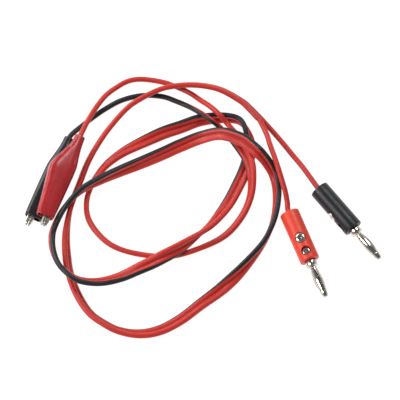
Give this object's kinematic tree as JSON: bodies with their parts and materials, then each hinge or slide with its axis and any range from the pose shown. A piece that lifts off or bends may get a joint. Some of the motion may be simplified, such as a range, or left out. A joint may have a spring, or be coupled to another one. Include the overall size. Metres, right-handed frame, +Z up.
{
  "type": "alligator clip lead",
  "caption": "Twin test lead: sleeved red and black alligator clips joined by a flat two-wire cable to red and black banana plugs, for joining a bench supply or meter to a circuit.",
  "frame": {"origin": "on the table, under the middle of the box round the clips and plugs", "axes": "+Z up; +X from the clips to the plugs; +Y away from the plug tips, towards the cable's split"},
  "size_m": [0.1771, 0.1396, 0.0162],
  "materials": {
    "steel": "satin",
    "spring_steel": "satin",
    "copper": "satin",
    "nickel": "polished",
    "screw_nickel": "polished",
    "red_plastic": "gloss",
    "black_plastic": "gloss",
    "red_vinyl": "gloss",
    "black_vinyl": "gloss",
    "cable_red": "satin",
    "cable_black": "satin"
  },
  "bodies": {
    "lead": {"red_clip_base_jaw": "steel", "red_clip_pivot_pin": "steel", "red_clip_torsion_spring": "spring_steel", "red_clip_sleeve": "red_vinyl", "red_clip_copper_core": "copper", "red_clip_lead": "cable_red", "red_plug_body": "red_plastic", "red_plug_insert": "nickel", "red_plug_spring_basket": "nickel", "red_plug_copper_core": "copper", "red_plug_lead": "cable_red", "black_clip_base_jaw": "steel", "black_clip_pivot_pin": "steel", "black_clip_torsion_spring": "spring_steel", "black_clip_sleeve": "black_vinyl", "black_clip_copper_core": "copper", "black_clip_lead": "cable_black", "black_plug_body": "black_plastic", "black_plug_insert": "nickel", "black_plug_spring_basket": "nickel", "black_plug_copper_core": "copper", "black_plug_lead": "cable_red", "twin_cable": "cable_red"},
    "red_lever": {"red_clip_lever_jaw": "steel"},
    "red_clamp": {"red_plug_clamp_screw": "screw_nickel"},
    "red_retainer": {"red_plug_retaining_screw": "screw_nickel"},
    "black_lever": {"black_clip_lever_jaw": "steel"},
    "black_clamp": {"black_plug_clamp_screw": "screw_nickel"},
    "black_retainer": {"black_plug_retaining_screw": "screw_nickel"}
  },
  "joints": [
    {"name": "red_clip_hinge", "type": "hinge", "parent": "lead", "child": "red_lever", "pos_m": [-0.0709, 0.0123, 0.0108], "axis": [-0.3208, 0.1187, -0.9397], "range_deg": [0, 25], "stiffness_Nm_per_rad": 0.1, "springref_deg": -17.19, "deforming": ["red_clip_torsion_spring", "red_clip_sleeve"]},
    {"name": "red_clamp_screw_travel", "type": "slide", "parent": "lead", "child": "red_clamp", "axis": [-0.1292, -0.0517, 0.9903], "range_m": [0, 0.0015]},
    {"name": "red_retaining_screw_travel", "type": "slide", "parent": "lead", "child": "red_retainer", "axis": [-0.1292, -0.0517, 0.9903], "range_m": [0, 0.0012]},
    {"name": "black_clip_hinge", "type": "hinge", "parent": "lead", "child": "black_lever", "pos_m": [-0.0782, 0.01455, 0.00405], "axis": [0.0799, -0.0349, 0.9962], "range_deg": [0, 25], "stiffness_Nm_per_rad": 0.1, "springref_deg": -17.19, "deforming": ["black_clip_torsion_spring", "black_clip_sleeve"]},
    {"name": "black_clamp_screw_travel", "type": "slide", "parent": "lead", "child": "black_clamp", "axis": [-0.78, -0.6249, -0.0349], "range_m": [0, 0.0015]},
    {"name": "black_retaining_screw_travel", "type": "slide", "parent": "lead", "child": "black_retainer", "axis": [-0.78, -0.6249, -0.0349], "range_m": [0, 0.0012]}
  ]
}
